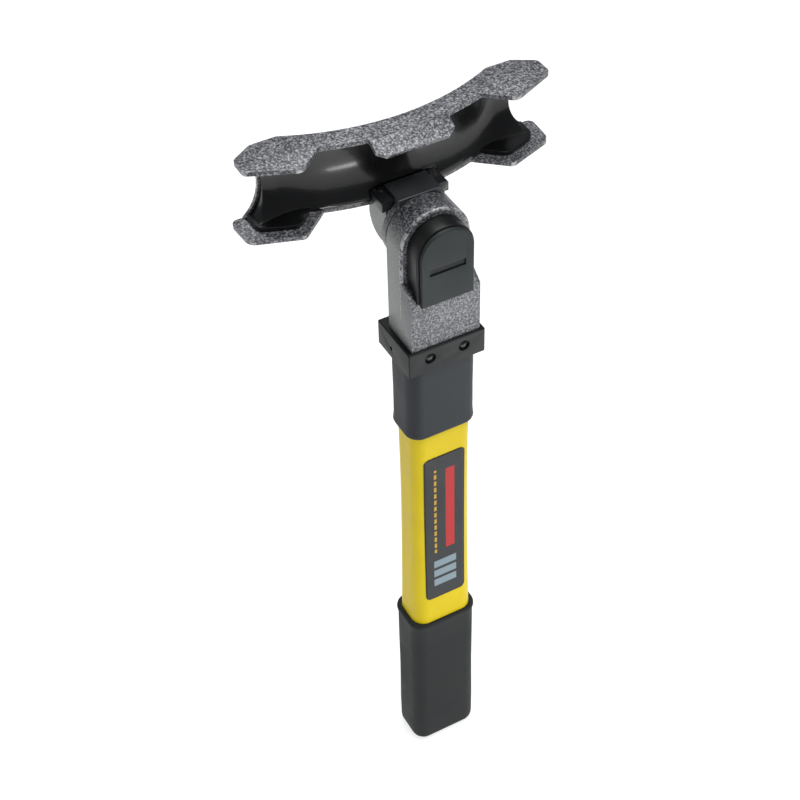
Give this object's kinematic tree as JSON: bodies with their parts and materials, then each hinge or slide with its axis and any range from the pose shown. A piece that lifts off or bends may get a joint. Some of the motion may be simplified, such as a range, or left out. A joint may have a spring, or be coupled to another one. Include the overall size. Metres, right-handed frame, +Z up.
{
  "type": "steering wheel lock",
  "caption": "Steering wheel lock: a rubber-lined steel cradle hooks the wheel rim and a padded handle swivels on it, held by a key-operated bolt.",
  "frame": {"origin": "bottom centre of the bounding box, under the closed end of the handle grip", "axes": "+Z up the handle towards the cradle, +X along the cradle to the right, +Y away from the key face towards the wheel hub"},
  "size_m": [0.2078, 0.0768, 0.5404],
  "materials": {
    "hammertone": "silver-grey hammertone paint with dark flecks, satin",
    "liner_rubber": "glossy black moulded rubber",
    "black_casting": "satin black enamel",
    "strike_steel": "dark grey phosphated steel",
    "zinc": "zinc plated, satin",
    "face_plastic": "satin dark grey moulded plastic",
    "bezel_plastic": "fine grained black moulded plastic",
    "brass": "machined",
    "collar_paint": "satin black enamel on steel",
    "black_screw": "semi-gloss black oxide",
    "sleeve_rubber": "satin soft black rubber",
    "grip_yellow": "satin yellow vinyl",
    "label_film": null,
    "grip_rubber": "matte black rubber",
    "core_steel": "plain drawn tube"
  },
  "bodies": {
    "handle": {"lock_head": "hammertone", "swivel_pin": "zinc", "swivel_shim": "bezel_plastic", "wave_washer": "zinc", "pin_clip": "black_screw", "stop_pin": "zinc", "lock_bezel": "bezel_plastic", "bezel_screws": "black_screw", "lock_body": "brass", "handle_core": "core_steel", "core_pins": "zinc", "core_plug": "face_plastic", "collar": "collar_paint", "collar_screws": "black_screw", "set_screw": "black_screw", "upper_sleeve": "sleeve_rubber", "yellow_grip": "grip_yellow", "label_plate": "label_film", "lower_grip": "grip_rubber"},
    "cradle": {"cradle_shell": "hammertone", "cradle_liner": "liner_rubber", "liner_rivets": "black_screw", "swivel_bracket": "hammertone", "bracket_saddle": "black_casting", "saddle_screws": "black_screw", "strike_block": "strike_steel"},
    "shutter": {"dust_shutter": "face_plastic"},
    "plug": {"key_plug": "brass", "plug_cam": "zinc"},
    "bolt": {"lock_bolt": "zinc"}
  },
  "joints": [
    {"name": "cradle_swivel", "type": "hinge", "parent": "handle", "child": "cradle", "pos_m": [0, -0.02005, 0.4766], "axis": [0, 1, 0], "range_deg": [0, 180]},
    {"name": "shutter_slide", "type": "slide", "parent": "handle", "child": "shutter", "axis": [0, 0, -1], "range_m": [0, 0.024]},
    {"name": "key_turn", "type": "hinge", "parent": "handle", "child": "plug", "pos_m": [0, -0.02005, 0.4766], "axis": [0, 1, 0], "range_deg": [0, 90]},
    {"name": "bolt_slide", "type": "slide", "parent": "handle", "child": "bolt", "axis": [0, 1, 0], "range_m": [0, 0.006]}
  ],
  "couplings": [
    {"joint": "bolt_slide", "follows": "key_turn", "m_per_rad": 0.003819}
  ]
}
